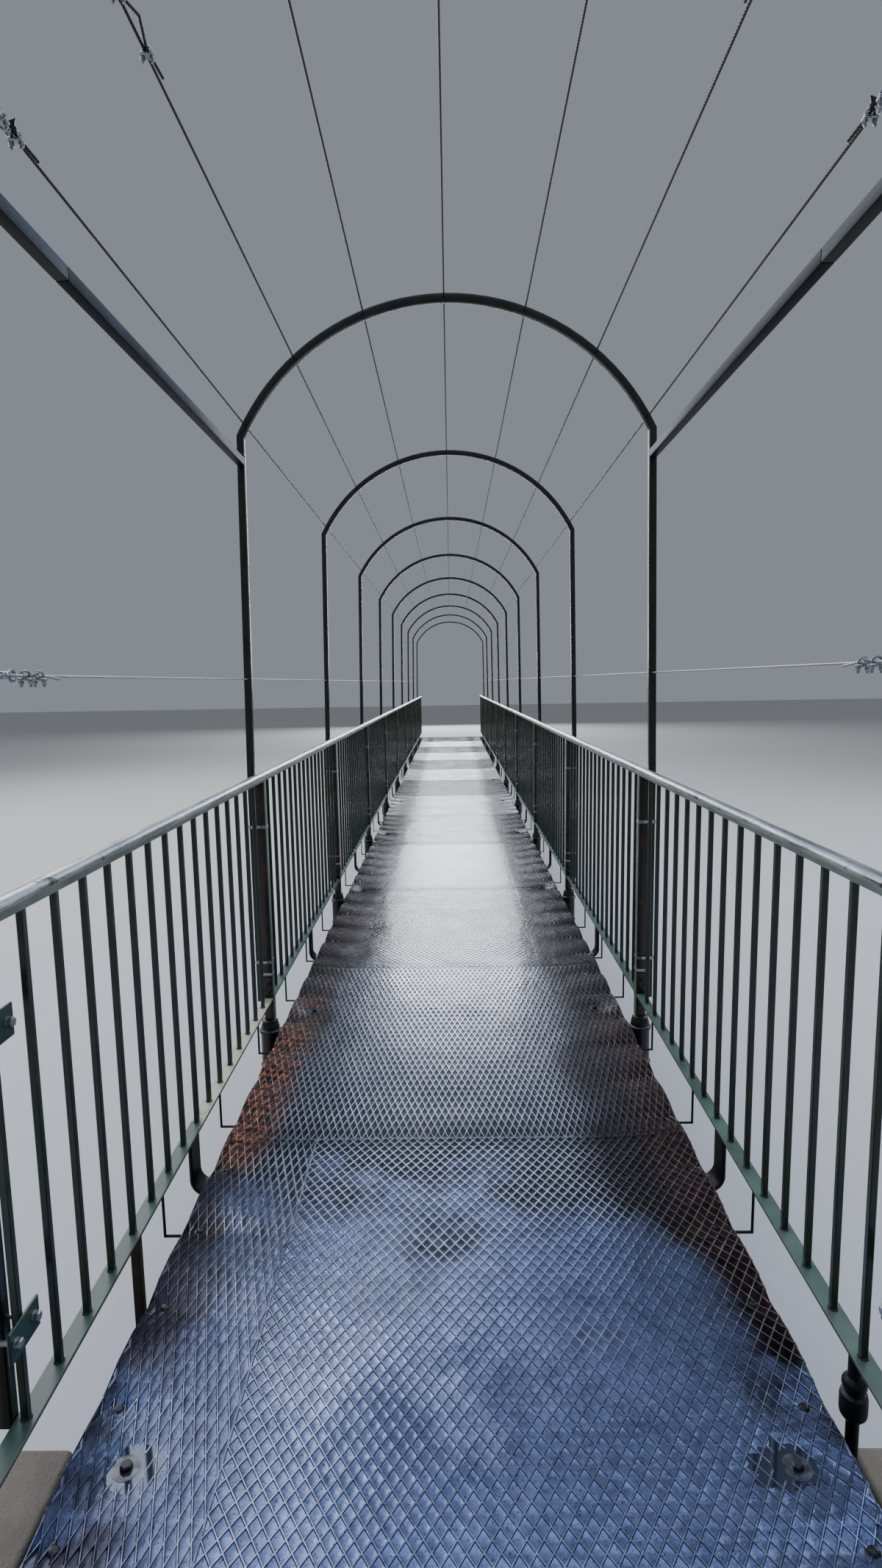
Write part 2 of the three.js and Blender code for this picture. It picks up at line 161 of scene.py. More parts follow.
# How many of each mark lie in a metre of the real surface; grit and sand are drawn coarser, so that they show
STAINS = 2.6
SPOTS = 38
DENTS = 40
GRIT = 260
DAMP_STAINS = 2.2
SAND = 320
STONES = 70
GRIME = 6
CHIPS = 9
# Scale of the wave texture: one slant each 3.3 mm
LAY = 95

# Camera at the photograph's viewpoint
EYE = Vector((0.0044, -1.2569, 2.6554))
YAW = -0.0141
PITCH = 0.1277
ROLL = -0.0166
FOCAL_PIXELS = 1078.6
FRAME_HEIGHT = 2133


def place_camera():
    ahead = Vector((math.sin(YAW) * math.cos(PITCH), math.cos(YAW) * math.cos(PITCH), -math.sin(PITCH)))
    right = Vector((math.cos(YAW), -math.sin(YAW), 0))
    up = right.cross(ahead)
    right, up = (math.cos(ROLL) * right + math.sin(ROLL) * up, math.cos(ROLL) * up - math.sin(ROLL) * right)
    data = bpy.data.cameras.new("camera")
    data.sensor_fit = "VERTICAL"
    data.sensor_height = 36
    data.lens = 36 * FOCAL_PIXELS / FRAME_HEIGHT
    data.clip_start = 0.05
    data.clip_end = 200
    camera = bpy.data.objects.new("camera", data)
    camera.matrix_world = Matrix.Translation(EYE) @ Matrix((right, up, -ahead)).transposed().to_4x4()
    scene.collection.objects.link(camera)
    scene.camera = camera


place_camera()


# Finishes
def colour(hex_code):
    """An sRGB hex value as a linear colour."""
    parts = [int(hex_code[i:i + 2], 16) / 255 for i in (1, 3, 5)]
    return tuple(c / 12.92 if c <= 0.04045 else ((c + 0.055) / 1.055) ** 2.4 for c in parts) + (1.0,)


def add_node(tree, kind, inputs=None, stops=None, **settings):
    """Adds a node; an input given as a node or a socket is linked, any other is set on the node itself."""
    node = tree.nodes.new("ShaderNode" + kind)
    for key, value in settings.items():
        setattr(node, key, value)
    for key, value in (inputs or {}).items():
        if isinstance(value, bpy.types.Node):
            value = next(socket for socket in value.outputs if socket.enabled)
        if isinstance(value, bpy.types.NodeSocket):
            tree.links.new(value, node.inputs[key])
        else:
            node.inputs[key].default_value = value
    if stops:
        ramp = node.color_ramp
        while len(ramp.elements) < len(stops):
            ramp.elements.new(0.5)
        for element, (place, value) in zip(ramp.elements, stops):
            element.position = place
            element.color = value if isinstance(value, tuple) else (value, value, value, 1)
    return node


def new_finish(name):
    """An empty finish, and a function that adds a node to it."""
    finish = bpy.data.materials.new(name)
    finish.use_nodes = True
    finish.node_tree.nodes.clear()
    return finish, functools.partial(add_node, finish.node_tree)


def cover(finish, shell):
    """Closes a finish with its shader."""
    body = add_node(finish.node_tree, "BsdfPrincipled", shell)
    add_node(finish.node_tree, "OutputMaterial", {"Surface": body})
    return finish


def inside(node, *spans):
    """A mask with soft borders: the product of each value's smooth rise from 0 at start to 1 at end."""
    rises = [node("MapRange", {"Value": value, 1: start, 2: end}, interpolation_type="SMOOTHSTEP")
             for value, start, end in spans]
    mask = rises[0]
    for rise in rises[1:]:
        mask = node("Math", {0: mask, 1: rise}, operation="MULTIPLY")
    return mask


def weathered(name, base, patch, rust, rust_share, rough, metallic=0.0, patch_mm=60, rust_mm=9, bump_mm=0.25,
              specular=0.5, sunlit_patch=None):
    """Paint or metal skin with broad patches of a second tone, rust blooms and a fine uneven surface.
    sunlit_patch gives a third tone, a patch of painted sunlight on the left-hand rail between two distances along the
    bridge."""
    finish, node = new_finish(name)
    place = node("TexCoord").outputs["Object"]
    broad, spots, grit = [
        node("TexNoise", {"Vector": place, "Scale": scale, "Detail": detail, "Roughness": blend})
        for scale, detail, blend in ((1000 / patch_mm, 4, 0.6), (1000 / rust_mm, 5, 0.7), (GRIT, 2, 0.5))]
    tone = node("ValToRGB", {"Fac": broad}, stops=[(0.38, colour(base)), (0.66, colour(patch))])
    if sunlit_patch:
        sunlit_tone, first, last = sunlit_patch
        axes = node("SeparateXYZ", {"Vector": place})
        run = node("Math", {0: broad, 1: 0.5, 2: axes.outputs["Y"]}, operation="MULTIPLY_ADD")
        share = inside(node, (run, first + 0.2, first + 0.3), (run, last + 0.3, last + 0.2),
                       (axes.outputs["X"], 0.1, -0.1))
        tone = node("Mix", {0: share, 6: tone, 7: colour(sunlit_tone)}, data_type="RGBA")
    bloom = node("Math", {0: spots, 1: broad}, operation="MULTIPLY")
    edge = 0.5 - 0.32 * rust_share
    mask = node("ValToRGB", {"Fac": bloom}, stops=[(edge, 0.0), (edge + 0.05, 1.0)])
    skin = node("Mix", {0: mask, 6: tone, 7: colour(rust)}, data_type="RGBA")
    worn = node("MapRange", {"Value": broad, 3: -0.08, 4: 0.08})
    dull = node("MapRange", {"Value": mask, 3: rough, 4: min(1, rough + 0.35)})
    gloss = node("Math", {0: dull, 1: worn}, operation="ADD")
    height = node("Math", {0: grit, 1: mask}, operation="ADD")
    bump = node("Bump", {"Height": height, "Strength": 0.35, "Distance": bump_mm / 1000})
    shell = {"Base Color": skin, "Roughness": gloss, "Normal": bump, "Specular IOR Level": specular}
    if metallic:
        shell["Metallic"] = node("MapRange", {"Value": mask, 3: metallic, 4: 0.0})
    return cover(finish, shell)


# Hot-rolled tread plate under a film of rain: a slate-grey oxide skin with painted reflection in its colour, blue
# near by, dark over the middle plates and grey far off, maroon-black where damp stands, orange rust along the left
# edge
def tread_finish(name, tones, flanks, rust, metallic, roughs, bump_mm):
    """tones: near, sky sheen band, middle and far plates, all painted reflection. flanks: the near plate's sides and
    the others'.
    metallic: middle and flanks. roughs: near, far and flanks."""
    finish, node = new_finish(name)
    place = node("TexCoord").outputs["Object"]
    axes = node("SeparateXYZ", {"Vector": place})
    across, along = axes.outputs["X"], axes.outputs["Y"]
    broad, spots, dents, grit = [
        node("TexNoise", {"Vector": place, "Scale": scale, "Detail": detail, "Roughness": blend})
        for scale, detail, blend in ((STAINS, 5, 0.62), (SPOTS, 4, 0.6), (DENTS, 2, 0.5), (GRIT, 3, 0.6))]

    # Distances along the deck and out from its middle, pushed about by the broad noise
    wander = node("MapRange", {"Value": broad, 1: 0.25, 2: 0.75, 3: -0.14, 4: 0.14})
    drift = node("Math", {0: wander, 1: 3.0, 2: along}, operation="MULTIPLY_ADD")
    off_centre = node("Math", {0: across}, operation="ABSOLUTE")
    shady = node("MapRange", {"Value": across, 1: -0.3, 2: 0.3, 3: -0.01, 4: 0.03})
    shady = node("Math", {0: wander, 1: 0.6, 2: shady}, operation="MULTIPLY_ADD")
    inward = node("MapRange", {"Value": along, 1: 0.7, 2: 2.7, 3: -0.11, 4: 0.02})
    right_bay = inside(node, (along, 0.45, 0.95), (along, 2.1, 1.4), (across, 0.1, 0.3))
    inward = node("Math", {0: right_bay, 1: 0.13, 2: inward}, operation="MULTIPLY_ADD")
    spread = off_centre
    for shift in (shady, inward):
        spread = node("Math", {0: spread, 1: shift}, operation="ADD")
    # Where the painted reflection turns from the near blue to the dark middle, and then to the far tone
    to_middle = inside(node, (drift, 0.35, 0.95))
    to_far = inside(node, (drift, 2.4, 3.2))
    damp = inside(node, (spread, 0.42, 0.58), (drift, -0.1, 0.15))

    # Dirt lies in a band on each side of a plate joint
    joint = node("Math", {0: along, 1: 1 / PLATE_LEN, 2: -DECK_START / PLATE_LEN}, operation="MULTIPLY_ADD")
    joint = node("Math", {0: joint}, operation="FRACT")
    joint = node("Math", {0: inside(node, (joint, 0.1, 0.0)), 1: inside(node, (joint, 0.93, 1.0))}, operation="ADD")
    joint = node("MapRange", {"Value": joint, 3: 1.0, 4: 0.5})

    # Rust along the edges, strong on the left of the first two joints and faint elsewhere
    begins = node("MapRange", {"Value": across, 1: -0.2, 2: 0.2, 4: 0.65})
    begins = node("Math", {0: drift, 1: begins}, operation="ADD")
    rusty = inside(node, (off_centre, 0.54, 0.66), (begins, 0.85, 1.2))
    on_left = node("MapRange", {"Value": across, 1: -0.2, 2: 0.2, 3: 1.0, 4: 0.16})
    fade = node("MapRange", {"Value": drift, 1: 1.9, 2: 2.4, 3: 1.0, 4: 0.06})
    speckle = node("MapRange", {"Value": spots, 1: 0.4, 2: 0.62})
    for share in (on_left, fade, speckle):
        rusty = node("Math", {0: rusty, 1: share}, operation="MULTIPLY")

    # Tone, plate by plate, as painted reflection, with a paler band of painted sky sheen just left of the middle and
    # the damp flanks
    off_sheen_band = node("Math", {0: across, 1: 0.1}, operation="ADD")
    off_sheen_band = node("Math", {0: off_sheen_band}, operation="ABSOLUTE")
    sheen_band = inside(node, (off_sheen_band, 0.42, 0.06), (drift, 0.0, 0.45))
    darker = node("Math", {0: to_middle, 1: inside(node, (across, -0.1, 0.1))}, operation="MAXIMUM")
    side = node("Mix", {0: darker, 6: colour(flanks[0]), 7: colour(flanks[1])}, data_type="RGBA")
    tone, sky_sheen, middle, far = (colour(tint) for tint in tones)
    for share, over in ((sheen_band, sky_sheen), (to_middle, middle), (to_far, far), (damp, side)):
        tone = node("Mix", {0: share, 6: tone, 7: over}, data_type="RGBA")

    # Mottled, with painted shade dimming it to the right and in the near left corner, dimmer at the joints and where
    # far plates dry
    mottle = node("MapRange", {"Value": spots, 1: 0.3, 2: 0.7, 3: 0.65, 4: 1.2})
    # Painted shade: dimmer toward the right edge of the deck
    right = node("MapRange", {"Value": across, 2: 0.5, 3: 1.0, 4: 0.8})
    # Painted shade in the near left corner
    corner = inside(node, (across, -0.25, -0.6), (along, 0.9, 0.1))
    corner = node("MapRange", {"Value": corner, 3: 1.0, 4: 0.55})
    drying = node("MapRange", {"Value": broad, 1: 0.38, 2: 0.62, 3: 0.3, 4: 1.1})
    drying = node("Mix", {0: to_far, 2: 1.0, 3: drying})
    for dim in (right, corner, joint, drying):
        mottle = node("Math", {0: mottle, 1: dim}, operation="MULTIPLY")
    tone = node("Mix", {0: 1.0, 6: tone, 7: mottle}, data_type="RGBA", blend_type="MULTIPLY")
    dirt = node("MapRange", {"Value": grit, 1: 0.59, 2: 0.66, 4: 0.8})
    for share, over in ((dirt, "#1f1b1a"), (rusty, rust)):
        tone = node("Mix", {0: share, 6: tone, 7: colour(over)}, data_type="RGBA")

    # A thin film of water: glossy near, duller on the flanks, dull where it rusts
    rough_near, rough_far, rough_flank = roughs
    film = node("MapRange", {"Value": broad, 1: 0.35, 2: 0.65, 3: -0.05, 4: 0.07})
    wet = node("MapRange", {"Value": drift, 1: 1.9, 2: 3.0, 3: rough_near, 4: rough_far})
    wet = node("Math", {0: wet, 1: film}, operation="ADD")
    side_rough = node("MapRange", {"Value": to_middle, 3: rough_flank * 0.6, 4: rough_flank})
    rough = node("Mix", {0: damp, 2: wet, 3: side_rough})
    side_metal = node("MapRange", {"Value": to_middle, 3: 0.5, 4: metallic[1]})
    metal = node("Mix", {0: damp, 2: metallic[0], 3: side_metal})
    metal = node("MapRange", {"Value": rusty, 3: metal, 4: 0.1})

    # Shallow dents, deeper toward the buckled edges
    height = node("Math", {0: grit, 1: 0.12, 2: dents}, operation="MULTIPLY_ADD")
    buckled = node("MapRange", {"Value": off_centre, 1: 0.15, 2: 0.5, 3: 0.2, 4: 0.95})
    bump = node("Bump", {"Height": height, "Strength": buckled, "Distance": bump_mm / 1000})
    return cover(finish, {"Base Color": tone, "Roughness": rough, "Metallic": metal, "Normal": bump,
                          "Specular IOR Level": 0.1, "Coat Weight": 0.08, "Coat Roughness": 0.08, "Coat IOR": 1.33})


# Cast concrete left rough from the shutter: sand grain, dark pits and damp stains
def concrete_finish():
    finish, node = new_finish("cast_concrete")
    place = node("TexCoord").outputs["Object"]
    stain = node("TexNoise", {"Vector": place, "Scale": DAMP_STAINS, "Detail": 6, "Roughness": 0.65})
    sand = node("TexNoise", {"Vector": place, "Scale": SAND, "Detail": 3, "Roughness": 0.7})
    stones = node("TexVoronoi", {"Vector": place, "Scale": STONES, "Randomness": 1.0})
    tone = node("ValToRGB", {"Fac": stain},
                stops=[(0.3, colour("#544c41")), (0.52, colour("#7d7466")), (0.75, colour("#958c7c"))])
    grain = node("MapRange", {"Value": sand, 1: 0.3, 2: 0.7, 3: 0.72, 4: 1.15})
    skin = node("Mix", {0: 1.0, 6: tone, 7: grain}, data_type="RGBA", blend_type="MULTIPLY")
    pits = node("MapRange", {"Value": stones, 2: 0.35})
    height = node("Math", {0: sand, 1: pits}, operation="ADD")
    bump = node("Bump", {"Height": height, "Strength": 0.8, "Distance": 0.0015})
    return cover(finish, {"Base Color": skin, "Roughness": 0.92, "Normal": bump})


# Steel strand: six wires laid round a core, with bright and dark slants painted along it as highlight and shade
def strand_finish(name, light, dark):
    finish, node = new_finish(name)
    place = node("TexCoord").outputs["Object"]
    slant = node("Mapping", {"Vector": place, "Rotation": (0.9, 0.0, 0.9)})
    lay = node("TexWave", {"Vector": slant, "Scale": LAY, "Distortion": 0.4}, bands_direction="Y").outputs["Fac"]
    broad = node("TexNoise", {"Vector": place, "Scale": GRIME, "Detail": 3})
    # Painted highlight and shade of the laid wires
    tone = node("ValToRGB", {"Fac": lay}, stops=[(0.15, colour(dark)), (0.7, colour(light))])
    dirt = node("MapRange", {"Value": broad, 3: 0.6, 4: 1.2})
    skin = node("Mix", {0: 1.0, 6: tone, 7: dirt}, data_type="RGBA", blend_type="MULTIPLY")
    bump = node("Bump", {"Height": lay, "Strength": 0.6, "Distance": 0.0006})
    return cover(finish, {"Base Color": skin, "Roughness": 0.42, "Metallic": 0.8, "Normal": bump})


# Handrail: half-round mild steel, its paint worn to bright metal by hands, scuffed along its length
def worn_steel_finish():
    finish, node = new_finish("hand_worn_steel")
    place = node("TexCoord").outputs["Object"]
    brushed = node("Mapping", {"Vector": place, "Scale": (60, 5, 60)})
    scuff = node("TexNoise", {"Vector": brushed, "Scale": 1.0, "Detail": 6, "Roughness": 0.7})
    stain = node("TexNoise", {"Vector": place, "Scale": CHIPS, "Detail": 5, "Roughness": 0.65})
    tone = node("ValToRGB", {"Fac": scuff},
                stops=[(0.3, colour("#6d7073")), (0.5, colour("#a6abae")), (0.72, colour("#cfd3d5"))])
    left_paint = node("ValToRGB", {"Fac": stain}, stops=[(0.62, 0.0), (0.68, 1.0)])
    skin = node("Mix", {0: left_paint, 6: tone, 7: colour("#4a4a42")}, data_type="RGBA")
    rough = node("MapRange", {"Value": scuff, 1: 0.3, 2: 0.7, 3: 0.2, 4: 0.42})
    bump = node("Bump", {"Height": scuff, "Strength": 0.25, "Distance": 0.0005})
    return cover(finish, {"Base Color": skin, "Roughness": rough, "Metallic": 0.9, "Normal": bump})


# Pans: painted sky reflection, blue near by, paler in the sheen band, dark in the middle and grey far off
OXIDE_PAN = tread_finish("wet_oxidised_plate", ("#7683a7", "#aebbdf", "#22252f", "#303238"), ("#464252", "#120d0f"),
                         "#70402b", (0.75, 0.15), (0.2, 0.24, 0.33), 2.0)
# Crowns of the ribs: lighter copies of the plate's tones as painted highlights, near white far off
RIB_CROWN = tread_finish("rib_crowns_painted_highlights", ("#95a2c2", "#bccaeb", "#dde3f0", "#f0f1f4"), ("#565162", "#7f7a80"),
                         "#d5a38a", (0.82, 0.6), (0.16, 0.17, 0.2), 0.6)
# Dirt and painted shadow along the foot of each rib
RIB_FOOT = tread_finish("rib_feet_grime_and_painted_shadow", ("#4a5675", "#3f4964", "#8f939f", "#17181c"), ("#1a1820", "#1d181a"),
                        "#7c4a33", (0.6, 0.3), (0.25, 0.4, 0.33), 0.6)
# Brushed alkyd paint on square tube, dark olive, with rust coming through in specks
HOOP_PAINT = weathered("olive_hoop_paint", "#111611", "#1c221a", "#38241a", 0.15, 0.28, patch_mm=120, rust_mm=7)
# Spring beams: the same paint, painted blacker and duller as shade, and a painted slate sky sheen on the side toward
# the deck
SHADED_BEAM_PAINT = weathered("beam_paint_painted_shade", "#090a0b", "#121416", "#241a15", 0.15, 0.5, patch_mm=120, rust_mm=7,
                       bump_mm=0.08, specular=0.12)
BEAM_SIDE_SHEEN = weathered("beam_side_painted_sky_sheen", "#1f262e", "#36414d", "#241a15", 0.12, 0.55, patch_mm=150, rust_mm=7,
                            bump_mm=0.05, specular=0.25)
# Bent brackets and stays: black bitumen paint, brushed thick
BRACKET_PAINT = weathered("black_bracket_paint", "#0b0c0d", "#151617", "#30211a", 0.2, 0.4, patch_mm=60, rust_mm=6,
                          bump_mm=0.12, specular=0.25)
# Clamp plates: fresh green gloss, newer than the rest
CLAMP_PAINT = weathered("dark_green_clamp_paint", "#0e3527", "#17402f", "#3a2a1c", 0.15, 0.28, patch_mm=40, rust_mm=5)
# Picket paint: bottle green, browner where rust bleeds through
PICKET_PAINT = weathered("picket_paint", "#16241a", "#26301f", "#452a1b", 0.22, 0.24, patch_mm=70, rust_mm=6)
# Posts: paint mostly gone to a dark rust
POST_PAINT = weathered("rusted_post_paint", "#231c17", "#32251c", "#4f2d1c", 0.6, 0.3, patch_mm=50, rust_mm=8)
# Bottom flat: pale sage paint on the upper face, with a cream patch of painted sunlight on the left-hand rail
RAIL_TOP_PAINT = weathered("sage_paint_painted_sunlit_patch", "#344a3f", "#4a6356", "#5b4230", 0.2, 0.4, patch_mm=160, rust_mm=6,
                           sunlit_patch=("#b9b698", 1.0, 1.9))
# Sides and underside of the bottom flat, where the sage has browned
RAIL_PAINT = weathered("sage_rail_paint", "#2b352d", "#3f493f", "#4d2e1d", 0.35, 0.32, patch_mm=80, rust_mm=7)
# Top flat: the same sage, with pale patches of painted reflection
TOP_FLAT_PAINT = weathered("top_flat_painted_sheen", "#48524a", "#6b746a", "#3b3027", 0.3, 0.3, patch_mm=110, rust_mm=7)
# Sleeves: old pipe, nearly black, brown with rust
SLEEVE_IRON = weathered("dark_pipe_iron", "#14110f", "#211a16", "#42281a", 0.4, 0.34, 0.2, patch_mm=45, rust_mm=7)
# Hot-dip zinc, dulled by weather
ZINC = weathered("dull_zinc", "#8d9092", "#a9abaa", "#6b5848", 0.12, 0.3, 0.85, patch_mm=14, rust_mm=5)
# Inner sides of the posts: light grey-green, a painted reflection of the bright deck and sky
POST_SIDE_SHEEN = weathered("post_side_painted_sheen", "#56665a", "#67766a", "#5a4030", 0.2, 0.36, patch_mm=80, rust_mm=7)
# Domed steel heads, blued by the wet
DECK_BOLT = weathered("slate_bolt_heads", "#202126", "#2f2e33", "#3d2c26", 0.2, 0.24, 0.4, patch_mm=14, rust_mm=4)
# Big plate washers, zinc gone grey under rainwater
WET_WASHER = weathered("rain_washed_washers", "#3c3f47", "#676a72", "#3d2c26", 0.25, 0.16, 0.6, patch_mm=20,
                       rust_mm=5)
# Plain bolts and plates, oily brown with early rust
BOLT_STEEL = weathered("dark_bolt_steel", "#2b2623", "#453a33", "#5a3420", 0.4, 0.25, 0.6, patch_mm=12, rust_mm=4)
# Girders: brushed bitumen paint over rolled steel, rusting in broad blooms
GIRDER_PAINT = weathered("girder_paint", "#24251f", "#34342b", "#5a3520", 0.5, 0.4, patch_mm=220, rust_mm=22)
HANDRAIL_STEEL = worn_steel_finish()
STRAND = strand_finish("zinc_strand", "#c4c5c2", "#777978")
DARK_STRAND = strand_finish("weathered_strand", "#4b4b46", "#1d1d1b")
CONCRETE = concrete_finish()
# Rainwater standing between the ribs: a dark, almost still mirror
WATER = cover(new_finish("standing_water")[0], {"Base Color": colour("#4a5163"), "Roughness": 0.05, "Metallic": 0.8})


# Making and finishing pieces
def keep(bm, name, finishes, replaces=(), smooth=None):
    """Turns a bmesh into a piece of the bridge, in place, with its finishes."""
    mesh = bpy.data.meshes.new(name)
    bm.to_mesh(mesh)
    bm.free()
    for finish in finishes:
        mesh.materials.append(finish)
    piece = bpy.data.objects.new(name, mesh)
    scene.collection.objects.link(piece)
    if smooth:
        mesh.shade_smooth()
        mesh.set_sharp_from_angle(angle=math.radians(smooth))
    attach(piece, "root")
    if replaces:
        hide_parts(*replaces)


def faces_of(verts):
    return {face for vert in verts for face in vert.link_faces}


def edges_of(verts):
    return {edge for vert in verts for edge in vert.link_edges}


def upright_edges(verts):
    return [edge for edge in edges_of(verts) if abs(edge.verts[0].co.z - edge.verts[1].co.z) > 0.005]


def coat(faces, finish):
    """Gives faces one of their piece's finishes, by its place in the list."""
    for face in faces:
        face.material_index = finish


def box(bm, low, high, finish=0):
    """A box between two corners; returns its vertices."""
    verts = bmesh.ops.create_cube(bm, size=1)["verts"]
    low, high = Vector(low), Vector(high)
    bmesh.ops.scale(bm, vec=high - low, verts=verts)
    bmesh.ops.translate(bm, vec=(low + high) / 2, verts=verts)
    coat(faces_of(verts), finish)
    return verts


def soften(bm, edges, size, segments=2):
    bmesh.ops.bevel(bm, geom=list(edges), offset=size, offset_type="OFFSET", segments=segments, profile=0.5,
                    affect="EDGES", material=-1, clamp_overlap=True)


def soft_box(bm, low, high, size, finish=0, segments=1):
    verts = box(bm, low, high, finish)
    soften(bm, edges_of(verts), size, segments)


def connected(start):
    """Every vertex that edges join to the first."""
    found, queue = {start}, [start]
    while queue:
        for edge in queue.pop().link_edges:
            for vert in edge.verts:
                if vert not in found:
                    found.add(vert)
                    queue.append(vert)
    return list(found)


def close_spin(bm, rim, finish):
    """Merges the seams of a spun shell, turns its faces outward and coats them; returns its vertices."""
    bmesh.ops.remove_doubles(bm, verts=connected(rim[0]), dist=1e-6)
    shell = connected(next(vert for vert in rim if vert.is_valid))
    faces = faces_of(shell)
    bmesh.ops.recalc_face_normals(bm, faces=list(faces))
    coat(faces, finish)
    return shell


def turned(bm, profile, place, steps=28, finish=0):
    """A turned piece about a vertical axis at a place, from [radius, height] pairs that run upward."""
    rim = [bm.verts.new((radius, 0, height)) for radius, height in profile]
    edges = [bm.edges.new(pair) for pair in zip(rim, rim[1:])]
    bmesh.ops.spin(bm, geom=rim + edges, cent=(0, 0, 0), axis=(0, 0, 1), angle=math.tau, steps=steps, use_merge=True)
    bmesh.ops.translate(bm, vec=place, verts=close_spin(bm, rim, finish))


def arc(start, turn, steps):
    """Cosine and sine at even steps through an angle, both ends included."""
    return [(math.cos(start + turn * i / steps), math.sin(start + turn * i / steps)) for i in range(steps + 1)]


def square_section(width, depth, corner):
    """A rounded square bar section as (across, along) pairs."""
    points = []
    for sx, sy in ((1, 1), (-1, 1), (-1, -1), (1, -1)):
        x, y = sx * (width / 2 - corner), sy * (depth / 2 - corner)
        start = math.atan2(sy, sx) - math.pi / 4
        points += [(x + corner * c, y + corner * s) for c, s in arc(start, math.pi / 2, 2)]
    return points


def round_section(radius, sides):
    return [(radius * c, radius * s) for c, s in arc(0, math.tau, sides)[:-1]]


def run_bar(bm, section, path, across, finish=0):
    """Extrudes a section along a path with mitred corners; across is its first axis.
    The face of each step stays inside the bar."""
    path = [Vector(point) for point in path]
    ahead = (path[1] - path[0]).normalized()
    across = Vector(across)
    other = ahead.cross(across).normalized()
    across = other.cross(ahead)
    face = bm.faces.new([bm.verts.new(path[0] + across * u + other * v) for u, v in section])
    for i in range(1, len(path)):
        step = (path[i] - path[i - 1]).normalized()
        after = (path[i + 1] - path[i]).normalized() if i + 1 < len(path) else step
        mitre = (step + after).normalized()
        made = bmesh.ops.extrude_face_region(bm, geom=[face])["geom"]
        face = next(item for item in made if isinstance(item, bmesh.types.BMFace))
        for vert in face.verts:
            vert.co += step * ((path[i] - vert.co).dot(mitre) / step.dot(mitre))
    faces = faces_of(connected(face.verts[0]))
    coat(faces, finish)
    bmesh.ops.recalc_face_normals(bm, faces=list(faces))


def standing(place, axis, rise=0.0):
    """Stands a piece's own Z along an axis at a place, with its middle raised."""
    turn = Vector((0, 0, 1)).rotation_difference(Vector(axis)).to_matrix().to_4x4()
    return Matrix.Translation(place) @ turn @ Matrix.Translation((0, 0, rise))


def rod(bm, matrix, foot, head, length, sides, finish=0):
    """A bar about its matrix's Z, from its foot radius to its head radius; returns its vertices."""
    verts = bmesh.ops.create_cone(bm, cap_ends=True, segments=sides, radius1=foot, radius2=head, depth=length,
                                  matrix=matrix)["verts"]
    coat(faces_of(verts), finish)
    return verts


def hex_head(bm, place, axis, across_flats, height, finish=0):
    """Hex bolt head or nut with a chamfered crown, standing along axis."""
    radius = across_flats / math.sqrt(3)
    verts = rod(bm, standing(place, axis, height / 2), radius, radius, height, 6, finish)
    top = max(faces_of(verts), key=lambda face: face.calc_center_median().dot(Vector(axis)))
    bmesh.ops.inset_individual(bm, faces=[top], thickness=radius * 0.22, depth=height * 0.25)


def washer(bm, place, axis, radius, thickness, finish=0, sides=20):
    rod(bm, standing(place, axis, thickness / 2), radius, radius * 0.97, thickness, sides, finish)


# Deck: sheets of raised-rib tread plate, pulled down at their bolts and lifting between them
TREAD_FINISHES = [RIB_CROWN, OXIDE_PAN, RIB_FOOT]
CROWN, PAN, FOOT = range(3)


def sheet_top(x, y):
    """Height of the sheet: bulges along the edges, ripples, and dips at the anchors."""
    out = min(1.0, max(0.0, (abs(x) - CURL_FROM) / (DECK_HALF - CURL_FROM)))
    bulge = abs(math.sin(math.pi * (y - EDGE_BOLT_Y) / EDGE_BOLT_PITCH)) ** 0.65
    curl = CURL + 0.005 * noise.noise(Vector((x, y * 1.7, 9.3)))
    ripple = sum(noise.noise(Vector((x * often, y * often, seed))) * height * (1 + growth * out)
                 for often, height, seed, growth in RIPPLES)
    anchor = ANCHOR_Y + ANCHOR_PITCH * round((y - ANCHOR_Y) / ANCHOR_PITCH)
    away = (abs(x) - ANCHOR_X) ** 2 + (y - anchor) ** 2
    curl *= 1 - 0.95 * math.exp(-away / ANCHOR_HOLD ** 2)
    return DECK_TOP + curl * out ** 1.7 * (1.08 * bulge - 0.1) + ripple - DIP * math.exp(-away / DIP_REACH ** 2)


